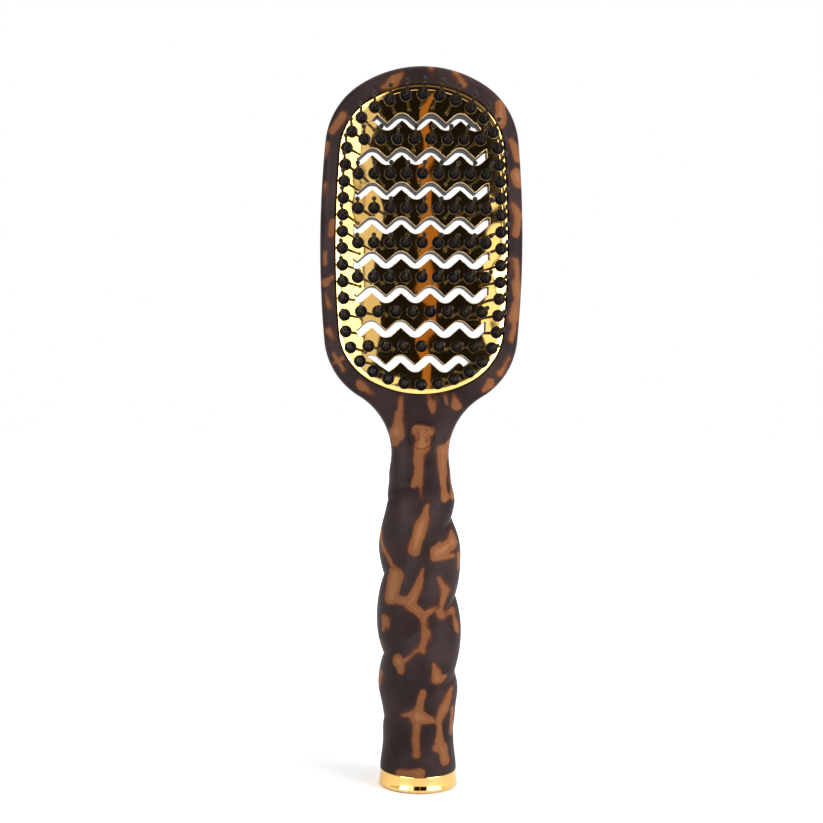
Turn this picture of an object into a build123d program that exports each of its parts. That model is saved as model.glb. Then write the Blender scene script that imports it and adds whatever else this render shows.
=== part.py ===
"""Vented paddle hairbrush that stands upright on its round end cap.

Millimetres, +Z up along the brush. The origin is the centre of the foot, on the surface that the
brush stands on. The pins point towards -Y, and +X is to the right of someone who looks at them.
The two casing shells meet in the plane y = 0, which holds the axis of the handle.
"""
import os
from math import atan2, cos, hypot, pi, radians, sin, sqrt, tan

from build123d import *

# ------------------------------------------------------------------ overall sizes
brush_height = 235.3        # foot to crown
head_width = 66.7
head_length = 113.6         # length of the head's oval, crown to chin
neck_width = 18.9
end_cap_diameter = 25.9     # widest, at the foot
end_cap_height = 5.4        # foot to the joint with the handle

# ------------------------------------------------------------------ casing
face_sagitta = 3.7544       # drop of the head's face from its middle to its sides
back_sagitta = 1.3927
face_crest = 6.2            # the face stands this far in front of the parting plane
back_crest = 3.4            # and the back this far behind it
head_end_radius = 0.5847 * head_width       # arcs of the head's oval: crown and chin,
head_side_radius = 350.0                    # sides,
head_corner_radius = 0.36 * head_width      # corners
neck_blend_radius = 22.0    # between the head's oval and the neck
face_edge_fillet = 2.4
back_edge_fillet = 1.8
back_wall = 1.8
ledge_width = 0.9           # the plate sits on this ledge
handle_bore_radius = 8.6
handle_bore_top = 84.0
neck_bore_radius = 3.6
neck_bore_foot = 100.0
neck_bore_top = 117.0
peg_radius = 1.2            # locating pegs between the two shells
peg_length = 2.0
peg_clearance = 0.1
peg_offset = 4.7            # of the two pegs beside the neck's bore, from the middle

# ------------------------------------------------------------------ vent plate
plate_side_margin = 4.8     # casing rim beside the plate, and at its crown and chin
plate_end_margin = 6.15
plate_end_radius = 0.5097 * head_width
plate_side_radius = 345.0
plate_corner_radius = 0.3073 * head_width
plate_gap = 0.15            # between the plate's edge and the casing
plate_recess = 0.5          # the plate's face lies this far below the casing's face
plate_thickness = 1.0
plate_edge_round = 0.8

# ------------------------------------------------------------------ vents
slot_count = 8
slot_width = 2.5            # across the stroke
slot_period = 9.6
slot_flank_angle = 42.0     # of the zigzag's flanks, from the horizontal
slot_inner_radius = 0.5
slot_phase = 2.9            # x of a crest
slot_side_margin = 3.6      # the slots end this far inside the ring of pins at the sides
slot_end_margin = 2.1       # and at the crown and chin
chimney_wall = 0.65         # wall round each vent, between the back and the plate

# ------------------------------------------------------------------ pins
row_pitch = 11.25
rows_drop = 1.05            # the middle row lies this far below the middle of the head
rows = [                    # pins in each straight row and half the row's length, crown first
    (8, 18.98), (9, 20.87), (9, 20.87), (9, 20.87), (9, 20.87), (8, 19.73), (7, 17.24)]
ring_count = 46             # pins in the ring round the plate's edge
ring_side_margin = 2.55     # the ring lies this far inside the plate's edge
ring_end_margin = 3.35
pin_length = 20.0           # plate's face to the centre of the ball tip
pin_base_diameter = 4.1
pin_base_height = 0.8
pin_base_edge = 0.25        # straight side of the base above the plate
pin_stem_radius = 1.3       # behind the plate, where the pin joins its runner
pin_root_diameter = 1.4
pin_neck_diameter = 0.85    # just below the ball
pin_tip_diameter = 1.5
pin_hole_clearance = 0.1
strip_thickness = 1.2       # the runner behind the plate that carries a row
strip_width = 3.0

# ------------------------------------------------------------------ end cap, ballast and foot
cap_top_radius = 12.45
cap_edge_fillet = 0.5
cap_spigot_radius = 6.4
cap_spigot_length = 5.8
cap_spigot_clearance = 0.1
foot_pad_diameter = 19.0
foot_pad_thickness = 1.5
foot_pad_fillet = 0.3
foot_pad_clearance = 0.15
foot_pad_stand_off = 0.3    # the pad holds the cap's rim this far off the surface
cap_screw_radius = 2.0
cap_screw_clearance = 0.2
cap_screw_head_radius = 3.7
cap_screw_head_height = 2.2
cap_screw_length = 16.0
ballast_clearance = 0.4     # round the steel bar in the handle's bore
ballast_length = 52.0

# ------------------------------------------------------------------ twisted handle
# stations up the handle, for the design length: height, half width, half depth, how square the
# section is (2 is an ellipse) and how far it stands behind y = 0, measured over the crests of
# the twist; above the last half width the neck follows its blend into the head
handle_stations = [
    (5.4, 12.45, 12.45, 2.0, 0), (15.0, 11.6, 11.6, 2.0, 0), (24.0, 12.1, 12.1, 2.0, 0),
    (34.0, 13.3, 13.2, 2.0, 0), (53.0, 13.9, 13.6, 2.0, 0), (76.0, 13.6, 13.2, 2.0, 0),
    (92.0, 11.9, 11.2, 2.2, 0), (101.0, 10.2, 8.8, 2.5, 0), (108.5, 9.45, 7.2, 2.8, 0),
    (118.0, 9.45, 6.0, 2.8, -0.8), (128.0, 9.45, 4.2, 2.6, -1.4)]
groove_stations = [(16.0, 0.0), (30.0, 1.0), (45.0, 1.7), (82.0, 1.7), (95.0, 0.7), (106.0, 0.0)]
handle_design_length = 121.7    # foot to chin; the stations stretch with the real length
twist_middle = 64.0         # the twist is slowest about this height
twist_span = 40.0
twist_terms = (1.18, 1.49, 0.22)    # turns at the middle, and per span and per span cubed
twist_lag = 0.13            # turns by which the grooves trail round the back
section_step = 2.9
section_points = 28

handle_stretch = (brush_height - head_length) / handle_design_length
head_middle = brush_height - head_length / 2
face_radius = ((head_width / 2) ** 2 + face_sagitta**2) / (2 * face_sagitta)
back_radius = ((head_width / 2) ** 2 + back_sagitta**2) / (2 * back_sagitta)
rows_middle = head_middle - rows_drop
plate_face_radius = face_radius - plate_recess
face_axis_y = face_radius - face_crest
plate_back_radius = plate_face_radius - plate_thickness
back_axis_y = back_crest - back_radius
chin_centre = head_middle - head_length / 2 + head_end_radius
neck_blend_z = chin_centre - sqrt((head_end_radius + neck_blend_radius) ** 2
                                  - (neck_width / 2 + neck_blend_radius) ** 2)
neck_top = chin_centre - (chin_centre - neck_blend_z) * head_end_radius / (
    head_end_radius + neck_blend_radius)


def blend(stations, z, column):
    """Smoothly interpolate one column of the stations at height z."""
    z = z / handle_stretch
    for low, high in zip(stations, stations[1:]):
        if z <= high[0]:
            share = max(0.0, (z - low[0]) / (high[0] - low[0]))
            share = share * share * (3 - 2 * share)
            return low[column] + (high[column] - low[column]) * share
    return stations[-1][column]


def oval_arcs(half_width, half_length, end_radius, side_radius, corner_radius):
    """List the oval's eight tangent arcs, clockwise from the crown: centre, radius, two angles."""
    end_centre = half_length - end_radius
    side_centre = half_width - side_radius
    reach_end = end_radius - corner_radius
    reach_side = side_radius - corner_radius
    gap = hypot(end_centre, side_centre)
    along = (gap * gap + reach_end**2 - reach_side**2) / (2 * gap)
    off = sqrt(reach_end**2 - along**2)
    ux, uz = side_centre / gap, -end_centre / gap
    corner_x = ux * along + uz * off
    corner_z = end_centre + uz * along - ux * off
    end_angle = atan2(corner_z - end_centre, corner_x)
    side_angle = atan2(corner_z, corner_x - side_centre)
    return [
        (0, end_centre, end_radius, pi - end_angle, end_angle),
        (corner_x, corner_z, corner_radius, end_angle, side_angle),
        (side_centre, 0, side_radius, side_angle, -side_angle),
        (corner_x, -corner_z, corner_radius, -side_angle, -end_angle),
        (0, -end_centre, end_radius, -end_angle, end_angle - pi),
        (-corner_x, -corner_z, corner_radius, end_angle - pi, side_angle - pi),
        (-side_centre, 0, side_radius, side_angle - pi, -side_angle - pi),
        (-corner_x, corner_z, corner_radius, -side_angle - pi, -end_angle - pi)]


def oval_line(*sizes):
    """Draw the oval about (0, head_middle) in the pending line builder."""
    for x, z, radius, start, end in oval_arcs(*sizes):
        ThreePointArc(*[(x + radius * cos(angle), head_middle + z + radius * sin(angle))
                        for angle in (start, (start + end) / 2, end)])


def oval_spots(count, *sizes):
    """Space this many points evenly round the oval, clockwise from the crown."""
    arcs = oval_arcs(*sizes)
    lengths = [radius * (start - end) for x, z, radius, start, end in arcs]
    spots = []
    for n in range(count):
        run = (lengths[0] / 2 + sum(lengths) * n / count) % sum(lengths)
        for (x, z, radius, start, end), length in zip(arcs, lengths):
            if run <= length:
                break
            run -= length
        angle = start - run / radius
        spots.append((x + radius * cos(angle), head_middle + z + radius * sin(angle)))
    return spots


def plate_oval(inset_side, inset_end):
    """Sizes of an oval inside the plate's opening, inset at the sides and at the ends."""
    half_width = head_width / 2 - plate_side_margin - inset_side
    half_length = head_length / 2 - plate_end_margin - inset_end
    inset = (inset_side + inset_end) / 2
    return (half_width, half_length, plate_end_radius - inset, plate_side_radius - inset,
            plate_corner_radius - inset)


def lens_line(front_radius, front_axis_y, rear_radius, rear_axis_y):
    """Draw the section between a front and a rear cylinder, wider than the head."""
    reach = 0.54 * head_width
    front_edge = front_axis_y - sqrt(front_radius**2 - reach**2)
    rear_edge = rear_axis_y + sqrt(rear_radius**2 - reach**2)
    ThreePointArc((-reach, front_edge), (0, front_axis_y - front_radius), (reach, front_edge))
    Line((reach, front_edge), (reach, rear_edge))
    ThreePointArc((reach, rear_edge), (0, rear_axis_y + rear_radius), (-reach, rear_edge))
    Line((-reach, rear_edge), (-reach, front_edge))


def twist_turns(z):
    """Turns of the twist at height z, counted downwards; the pitch is longest at mid-handle."""
    w = (twist_middle - z / handle_stretch) / twist_span
    return twist_terms[0] + twist_terms[1] * w + twist_terms[2] * w**3


def handle_half_width(z):
    """Half width of the handle, its neck and the neck's blend into the head."""
    flare = max(0.0, z - neck_blend_z)
    return (blend(handle_stations, z, 1) + neck_blend_radius
            - sqrt(neck_blend_radius**2 - flare**2))


def handle_point(z, angle):
    """A point of the handle's skin; the angle runs from -X through -Y, the pins' side."""
    half_width = handle_half_width(z)
    half_depth = blend(handle_stations, z, 2)
    power = 2.0 / blend(handle_stations, z, 3)
    groove = blend(groove_stations, z, 1)
    lead = angle / (2 * pi) + twist_lag * (1 - cos(angle))
    valley = 0.5 + 0.5 * cos(2 * pi * (twist_turns(z) + lead))
    c, s = cos(angle), sin(angle)
    x = -half_width * (1 if c >= 0 else -1) * abs(c) ** power
    y = -half_depth * (1 if s >= 0 else -1) * abs(s) ** power
    shrink = 1 - groove * valley / hypot(x, y)
    return x * shrink, y * shrink + blend(handle_stations, z, 4)


def vent_sketch(extra):
    """Sketch the wavy vents in the XZ plane, each wider by extra all round, inside their oval."""
    half_stroke = slot_width / 2 + extra
    rise = slot_period / 4 * tan(radians(slot_flank_angle))
    lift = half_stroke / cos(radians(slot_flank_angle))
    outer = slot_inner_radius + slot_width + extra
    inner = max(slot_inner_radius - extra, 0.15)
    corners = range(-7, 8)
    xs = [slot_phase + k * slot_period / 2 for k in corners]
    signs = [1 if k % 2 == 0 else -1 for k in corners]
    with BuildSketch(Plane.XZ) as sketch:
        for n in range(slot_count):
            z = rows_middle + row_pitch * (n - (slot_count - 1) / 2)
            upper = [(x, z + sign * rise + lift) for x, sign in zip(xs, signs)]
            lower = [(x, z + sign * rise - lift) for x, sign in zip(xs, signs)]
            upper_radii = [outer if sign > 0 else inner for sign in signs]
            lower_radii = [inner if sign > 0 else outer for sign in signs]
            with BuildLine():
                FilletPolyline(*upper, radius=upper_radii[1:-1])
                FilletPolyline(*lower, radius=lower_radii[1:-1])
                Line(upper[0], lower[0])
                Line(upper[-1], lower[-1])
            make_face()
        with BuildSketch(mode=Mode.INTERSECT):
            with BuildLine():
                oval_line(*plate_oval(ring_side_margin + slot_side_margin - extra,
                                      ring_end_margin + slot_end_margin - extra))
            make_face()
    return sketch.sketch


def row_z(n):
    """Height of straight row n, counted from the crown."""
    return rows_middle + row_pitch * ((len(rows) - 1) / 2 - n)


def cylinder_y(radius, x):
    """y of the cylinder of this radius about the face's axis, at x."""
    return face_axis_y - sqrt(radius**2 - x * x)


ring_spots = oval_spots(ring_count, *plate_oval(ring_side_margin, ring_end_margin))
row_spots = []
for n, (count, half_length) in enumerate(rows):
    row_spots.append([(-half_length + 2 * half_length * k / (count - 1), row_z(n))
                      for k in range(count)])
all_spots = ring_spots + [spot for row in row_spots for spot in row]
vents = vent_sketch(0)
vent_walls = vent_sketch(chimney_wall)

# ------------------------------------------------------------------ casing blank
with BuildPart() as head_blank:
    with BuildSketch(Plane.XZ.offset(-2 * back_crest)):
        with BuildLine():
            oval_line(head_width / 2, head_length / 2, head_end_radius, head_side_radius,
                      head_corner_radius)
        make_face()
    extrude(amount=2 * back_crest + 2 * face_crest)
    with BuildSketch(Plane.XY):
        with BuildLine():
            lens_line(face_radius, face_axis_y, back_radius, back_axis_y)
        make_face()
    extrude(amount=brush_height + 1, mode=Mode.INTERSECT)
    faces_by_depth = head_blank.faces().sort_by(Axis.Y)
    fillet(faces_by_depth[0].edges(), radius=face_edge_fillet)
    back_face = head_blank.faces().sort_by(Axis.Y)[-1]
    fillet(back_face.edges(), radius=back_edge_fillet)

with BuildPart() as handle_blank:
    section_count = round((neck_top - end_cap_height) / section_step)
    for n in range(section_count + 1):
        z = end_cap_height + (neck_top - end_cap_height) * n / section_count
        with BuildSketch(Plane.XY.offset(z)):
            with BuildLine():
                Spline(*[handle_point(z, 2 * pi * k / section_points)
                         for k in range(section_points)], periodic=True)
            make_face()
    loft()

# ------------------------------------------------------------------ casing, cut into two shells
spigot_seat = end_cap_height + cap_spigot_length
with BuildPart() as plate_recess:
    with BuildSketch(Plane.XZ):
        with BuildLine():
            oval_line(*plate_oval(0, 0))
        make_face()
    extrude(amount=2 * face_crest)
    with Locations((0, face_axis_y, head_middle)):
        Cylinder(plate_back_radius, 2 * head_length, mode=Mode.SUBTRACT)

with BuildPart() as cavity:
    with BuildSketch(Plane.XZ.offset(-2 * back_crest)):
        with BuildLine():
            oval_line(*plate_oval(ledge_width, ledge_width))
        make_face()
    extrude(amount=2 * back_crest + 2 * face_crest)
    with Locations((0, back_axis_y, head_middle)):
        Cylinder(back_radius - back_wall, 2 * head_length, mode=Mode.INTERSECT)

with BuildPart() as bore:
    with BuildSketch(Plane.XZ):
        with BuildLine():
            Polyline((0, 0), (cap_spigot_radius + cap_spigot_clearance, 0),
                     (cap_spigot_radius + cap_spigot_clearance, spigot_seat),
                     (handle_bore_radius, spigot_seat), (handle_bore_radius, handle_bore_top),
                     (neck_bore_radius, neck_bore_foot), (neck_bore_radius, neck_bore_top),
                     (0, neck_bore_top), close=True)
        make_face()
    revolve(axis=Axis.Z)

with BuildPart() as casing:
    add(head_blank.part)
    add(handle_blank.part)
    add(plate_recess.part, mode=Mode.SUBTRACT)
    add(cavity.part, mode=Mode.SUBTRACT)
    add(bore.part, mode=Mode.SUBTRACT)

crown_peg_z = brush_height - plate_end_margin / 2
chin_peg_z = (neck_bore_top + brush_height - head_length + plate_end_margin) / 2
peg_spots = [(0, crown_peg_z), (-peg_offset, chin_peg_z), (peg_offset, chin_peg_z)]

with BuildPart() as front_shell:
    add(casing.part)
    split(bisect_by=Plane.XZ, keep=Keep.TOP)
    with BuildSketch(Plane.XZ.offset(1)):
        with Locations(*peg_spots):
            Circle(peg_radius)
    extrude(amount=-1 - peg_length)

with BuildPart() as chimneys:
    extrude(vent_walls, amount=2 * face_crest)
    extrude(vent_walls, amount=-back_crest + back_wall - 0.2)
    with Locations((0, face_axis_y, head_middle)):
        Cylinder(plate_back_radius, 2 * head_length, mode=Mode.INTERSECT)

with BuildPart() as rear_shell:
    add(casing.part)
    split(bisect_by=Plane.XZ, keep=Keep.BOTTOM)
    with BuildSketch(Plane.XZ):
        with Locations(*peg_spots):
            Circle(peg_radius + peg_clearance)
    extrude(amount=-peg_length - peg_clearance, mode=Mode.SUBTRACT)
    add(chimneys.part)
    extrude(vents, amount=2 * face_crest, mode=Mode.SUBTRACT)
    extrude(vents, amount=-2 * back_crest, mode=Mode.SUBTRACT)

# ------------------------------------------------------------------ vent plate
with BuildPart() as vent_plate:
    with BuildSketch(Plane.XZ):
        with BuildLine():
            oval_line(*plate_oval(plate_gap, plate_gap))
        make_face()
    extrude(amount=2 * face_crest)
    with Locations((0, face_axis_y, head_middle)):
        Cylinder(plate_back_radius, 2 * head_length, mode=Mode.SUBTRACT)
        Cylinder(plate_face_radius, 2 * head_length, mode=Mode.INTERSECT)
    plate_face = vent_plate.faces().sort_by(Axis.Y)[0]
    fillet(plate_face.edges(), radius=plate_edge_round)
    extrude(vents, amount=2 * face_crest, mode=Mode.SUBTRACT)
    with BuildSketch(Plane.XZ):
        with Locations(*all_spots):
            Circle(pin_base_diameter / 2 + pin_hole_clearance)
    extrude(amount=2 * face_crest, mode=Mode.SUBTRACT)

# ------------------------------------------------------------------ pins
tip_radius = pin_tip_diameter / 2
neck_radius = pin_neck_diameter / 2
stem_foot = plate_thickness + 0.6 * strip_thickness
base_foot = plate_thickness - 0.15
with BuildPart() as pin:
    with BuildSketch(Plane.XY):
        with BuildLine():
            tip_joint = (neck_radius, -pin_length + sqrt(tip_radius**2 - neck_radius**2))
            Polyline((0, stem_foot), (pin_stem_radius, stem_foot), (pin_stem_radius, base_foot),
                     (pin_base_diameter / 2, base_foot), (pin_base_diameter / 2, -pin_base_edge))
            RadiusArc((pin_base_diameter / 2, -pin_base_edge),
                      (pin_root_diameter / 2, -pin_base_height), radius=2 * pin_base_diameter / 2)
            Line((pin_root_diameter / 2, -pin_base_height), tip_joint)
            ThreePointArc(tip_joint, (tip_radius, -pin_length), (0, -pin_length - tip_radius))
            Line((0, -pin_length - tip_radius), (0, stem_foot))
        make_face()
    revolve(axis=Axis.Y)


def place_pins(spots):
    """Add a pin at each spot, its base on the plate's curved face."""
    with Locations(*[(x, cylinder_y(plate_face_radius, x), z) for x, z in spots]):
        add(pin.part)


def trim_runner():
    """Keep the layer just behind the plate that a runner fills."""
    with Locations((0, face_axis_y, head_middle)):
        Cylinder(plate_back_radius, 2 * head_length, mode=Mode.INTERSECT)
        Cylinder(plate_back_radius - strip_thickness, 2 * head_length, mode=Mode.SUBTRACT)


strips = {}
for n, spots in enumerate(row_spots):
    with BuildPart() as strip:
        with BuildSketch(Plane.XZ):
            with Locations((0, row_z(n))):
                SlotOverall(2 * rows[n][1] + strip_width, strip_width)
        extrude(amount=2 * face_crest)
        trim_runner()
        place_pins(spots)
    strips[f"pin_row_{n + 1}"] = strip

# the ring is four runners, cut midway between two pins
ring_cuts = {"pin_ring_crown": (-3, 3), "pin_ring_right": (4, 19),
             "pin_ring_chin": (20, 26), "pin_ring_left": (27, 42)}
for name, (first, last) in ring_cuts.items():
    wedge = [(0, head_middle)]
    for n in (first - 1, last):
        x = (ring_spots[n][0] + ring_spots[n + 1][0]) / 2
        z = (ring_spots[n][1] + ring_spots[n + 1][1]) / 2
        wedge.append((1.5 * x, head_middle + 1.5 * (z - head_middle)))
    with BuildPart() as strip:
        with BuildSketch(Plane.XZ):
            with BuildLine():
                oval_line(*plate_oval(ring_side_margin - strip_width / 2,
                                      ring_end_margin - strip_width / 2))
            make_face()
            with BuildSketch(mode=Mode.SUBTRACT):
                with BuildLine():
                    oval_line(*plate_oval(ring_side_margin + strip_width / 2,
                                          ring_end_margin + strip_width / 2))
                make_face()
            with BuildSketch(mode=Mode.INTERSECT):
                with BuildLine():
                    Polyline(*wedge, close=True)
                make_face()
        extrude(amount=2 * face_crest)
        trim_runner()
        place_pins([ring_spots[n] for n in range(first, last + 1)])
    strips[name] = strip

# ------------------------------------------------------------------ end cap, ballast and foot
foot_recess_radius = foot_pad_diameter / 2 + foot_pad_clearance
screw_head_top = foot_pad_thickness + cap_screw_head_height + 0.2
with BuildPart() as end_cap:
    with BuildSketch(Plane.XZ):
        with BuildLine():
            Polyline((foot_recess_radius, foot_pad_stand_off),
                     (end_cap_diameter / 2, foot_pad_stand_off),
                     (cap_top_radius, end_cap_height), (cap_spigot_radius, end_cap_height),
                     (cap_spigot_radius, spigot_seat - 0.2),
                     (cap_screw_radius + cap_screw_clearance, spigot_seat - 0.2),
                     (cap_screw_radius + cap_screw_clearance, screw_head_top),
                     (cap_screw_head_radius + cap_screw_clearance, screw_head_top),
                     (cap_screw_head_radius + cap_screw_clearance, foot_pad_thickness),
                     (foot_recess_radius, foot_pad_thickness), close=True)
        make_face()
        rim = [v for v in vertices() if v.X > cap_top_radius - 0.01]
        fillet(rim, radius=cap_edge_fillet)
    revolve(axis=Axis.Z)

with BuildPart() as cap_screw:
    with BuildSketch(Plane.XZ):
        with BuildLine():
            Polyline((0, screw_head_top - cap_screw_head_height),
                     (cap_screw_head_radius, screw_head_top - cap_screw_head_height),
                     (cap_screw_head_radius, screw_head_top), (cap_screw_radius, screw_head_top),
                     (cap_screw_radius, screw_head_top + cap_screw_length),
                     (0, screw_head_top + cap_screw_length), close=True)
        make_face()
    revolve(axis=Axis.Z)
    with BuildSketch(Plane.XY.offset(screw_head_top - cap_screw_head_height)):
        RegularPolygon(cap_screw_radius, 6)
    extrude(amount=0.6 * cap_screw_head_height, mode=Mode.SUBTRACT)

with BuildPart() as ballast_bar:
    with BuildSketch(Plane.XY.offset(spigot_seat)):
        Circle(handle_bore_radius - ballast_clearance)
        Circle(cap_screw_radius, mode=Mode.SUBTRACT)
    extrude(amount=cap_screw_length)
    with BuildSketch(Plane.XY.offset(spigot_seat + cap_screw_length)):
        Circle(handle_bore_radius - ballast_clearance)
    extrude(amount=ballast_length - cap_screw_length)

with BuildPart() as foot_pad:
    with BuildSketch(Plane.XY):
        Circle(foot_pad_diameter / 2)
    extrude(amount=foot_pad_thickness)
    fillet(foot_pad.edges().sort_by(Axis.Z)[0], radius=foot_pad_fillet)

# ------------------------------------------------------------------ one file for each piece
pieces = {"front_shell": front_shell, "rear_shell": rear_shell, "vent_plate": vent_plate,
          **strips, "end_cap": end_cap, "cap_screw": cap_screw, "ballast_bar": ballast_bar,
          "foot_pad": foot_pad}
os.makedirs("parts", exist_ok=True)
for name, piece in pieces.items():
    piece.part.label = name
    export_step(piece.part, f"parts/{name}.step")
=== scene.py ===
"""Looks of a vented paddle hairbrush that stands upright on its gold end cap.

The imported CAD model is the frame. Sizes in this file are millimetres in the frame's axes: +Z up
along the brush, the pins point towards -Y, and +X is to the right of someone who looks at them.
"""
import logging
from dataclasses import dataclass, field
from enum import Enum
from typing import Callable, Dict, List, Sequence, Tuple

import bmesh
import bpy
import numpy as np
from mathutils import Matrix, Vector


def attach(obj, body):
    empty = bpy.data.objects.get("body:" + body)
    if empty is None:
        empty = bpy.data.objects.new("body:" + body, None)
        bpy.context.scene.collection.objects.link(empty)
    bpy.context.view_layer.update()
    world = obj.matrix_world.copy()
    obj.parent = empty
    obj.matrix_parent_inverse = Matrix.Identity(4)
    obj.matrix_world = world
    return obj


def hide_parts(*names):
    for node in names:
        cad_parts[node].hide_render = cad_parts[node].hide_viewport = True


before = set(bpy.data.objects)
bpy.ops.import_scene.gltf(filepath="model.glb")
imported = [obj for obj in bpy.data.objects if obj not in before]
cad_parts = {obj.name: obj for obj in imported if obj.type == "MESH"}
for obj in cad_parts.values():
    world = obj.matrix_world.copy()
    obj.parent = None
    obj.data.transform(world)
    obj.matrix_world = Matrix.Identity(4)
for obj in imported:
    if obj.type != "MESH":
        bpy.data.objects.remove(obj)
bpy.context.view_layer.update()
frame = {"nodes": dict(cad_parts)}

MM = 0.001
LOG = logging.getLogger("hairbrush")
Array = np.ndarray


# ---------------------------------------------------------------------------- mesh helpers
def smoothstep(low: float, high: float, value: Array) -> Array:
    """Ease from 0 at low to 1 at high with a cubic that is level at both ends."""
    share = np.clip((value - low) / (high - low), 0.0, 1.0)
    return share * share * (3.0 - 2.0 * share)


def eased(heights: Sequence[float], values: Sequence[float], z: Array) -> Array:
    """Interpolate values given at rising heights, level at each of them.

    Args:
        heights: heights at which the values are known, in rising order.
        values: the value at each height.
        z: heights to evaluate.

    Returns:
        The eased value at each z, constant beyond the ends.
    """
    h, v = np.asarray(heights, float), np.asarray(values, float)
    z = np.asarray(z, float)
    n = np.clip(np.searchsorted(h, z) - 1, 0, len(h) - 2)
    share = smoothstep(0.0, 1.0, (z - h[n]) / (h[n + 1] - h[n]))
    return v[n] + (v[n + 1] - v[n]) * share


def add_object(name: str, data: bpy.types.ID) -> bpy.types.Object:
    """Make an object of a mesh, curve, light or camera, and link it to the scene."""
    thing = bpy.data.objects.new(name, data)
    bpy.context.scene.collection.objects.link(thing)
    return thing


def points_of(mesh: bpy.types.Mesh) -> Array:
    """The mesh's points in millimetres, one row each."""
    flat = np.empty(len(mesh.vertices) * 3)
    mesh.vertices.foreach_get("co", flat)
    return flat.reshape(-1, 3) / MM


def store_values(mesh: bpy.types.Mesh, name: str, values: Array) -> None:
    """Store one number for each point of the mesh as a named attribute."""
    layer = mesh.attributes.new(name, "FLOAT", "POINT")
    layer.data.foreach_set("value", values.astype(np.float32))


@dataclass
class Patchwork:
    """Grids of points that are joined into one mesh."""
    points: List[Array] = field(default_factory=list)
    faces: List[Array] = field(default_factory=list)
    count: int = 0

    def grid(self, x: Array, y: Array, z: Array, flip: bool = False,
             wrap: bool = False) -> None:
        """Add a grid of quads over arrays of one shape.

        Args:
            x: first coordinate of each grid point, in millimetres.
            y: second coordinate.
            z: third coordinate.
            flip: turns the faces over.
            wrap: joins the last column to the first.
        """
        x, y, z = np.broadcast_arrays(x, y, z)
        rows, columns = x.shape
        index = np.arange(rows * columns).reshape(rows, columns) + self.count
        if wrap:
            index = np.hstack([index, index[:, :1]])
        quads = np.stack([index[:-1, :-1], index[:-1, 1:], index[1:, 1:], index[1:, :-1]],
                         axis=-1).reshape(-1, 4)
        self.points.append(np.stack([x, y, z], axis=-1).reshape(-1, 3))
        self.faces.append(quads[:, ::-1] if flip else quads)
        self.count += rows * columns

    def build(self, name: str, merge: float = 0.004, recalc: bool = True) -> bpy.types.Object:
        """Make one object: doubles merged, degenerate faces dissolved, normals outwards.

        Args:
            name: name of the new object.
            merge: points nearer than this, in millimetres, become one.
            recalc: works the normals out again for a closed shape.

        Returns:
            The new object, in metres, linked to the scene.
        """
        mesh = bpy.data.meshes.new(name)
        mesh.from_pydata((np.vstack(self.points) * MM).tolist(), [],
                         np.vstack(self.faces).tolist())
        work = bmesh.new()
        work.from_mesh(mesh)
        bmesh.ops.remove_doubles(work, verts=work.verts, dist=merge * MM)
        bmesh.ops.dissolve_degenerate(work, edges=work.edges, dist=merge * MM * 0.5)
        if recalc:
            bmesh.ops.recalc_face_normals(work, faces=work.faces)
        work.to_mesh(mesh)
        work.free()
        return add_object(name, mesh)


def smooth(thing: bpy.types.Object, degrees: float = 40.0) -> None:
    """Shade smoothly, with a sharp edge where faces meet at more than this angle."""
    thing.data.shade_smooth()
    thing.data.set_sharp_from_angle(angle=np.radians(degrees))


def cut_away(thing: bpy.types.Object, tool: bpy.types.Object) -> None:
    """Subtract the tool from the thing exactly, then remove the tool."""
    modifier = thing.modifiers.new("cut", "BOOLEAN")
    modifier.operation = "DIFFERENCE"
    modifier.solver = "EXACT"
    modifier.object = tool
    bpy.context.view_layer.update()
    evaluated = thing.evaluated_get(bpy.context.evaluated_depsgraph_get())
    mesh = bpy.data.meshes.new_from_object(evaluated)
    thing.modifiers.clear()
    thing.data = mesh
    mesh.name = thing.name
    bpy.data.objects.remove(tool)


def settle(thing: bpy.types.Object, material: bpy.types.Material, slot: str,
           *nodes: str) -> bpy.types.Object:
    """Dress a finished piece, attach it to the root body and hide the CAD nodes it stands for."""
    thing.data.materials.clear()
    thing.data.materials.append(material)
    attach(thing, "root")
    if nodes:
        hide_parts(*nodes)
    LOG.info("%s: %d faces", thing.name, len(thing.data.polygons))
    return thing


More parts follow.
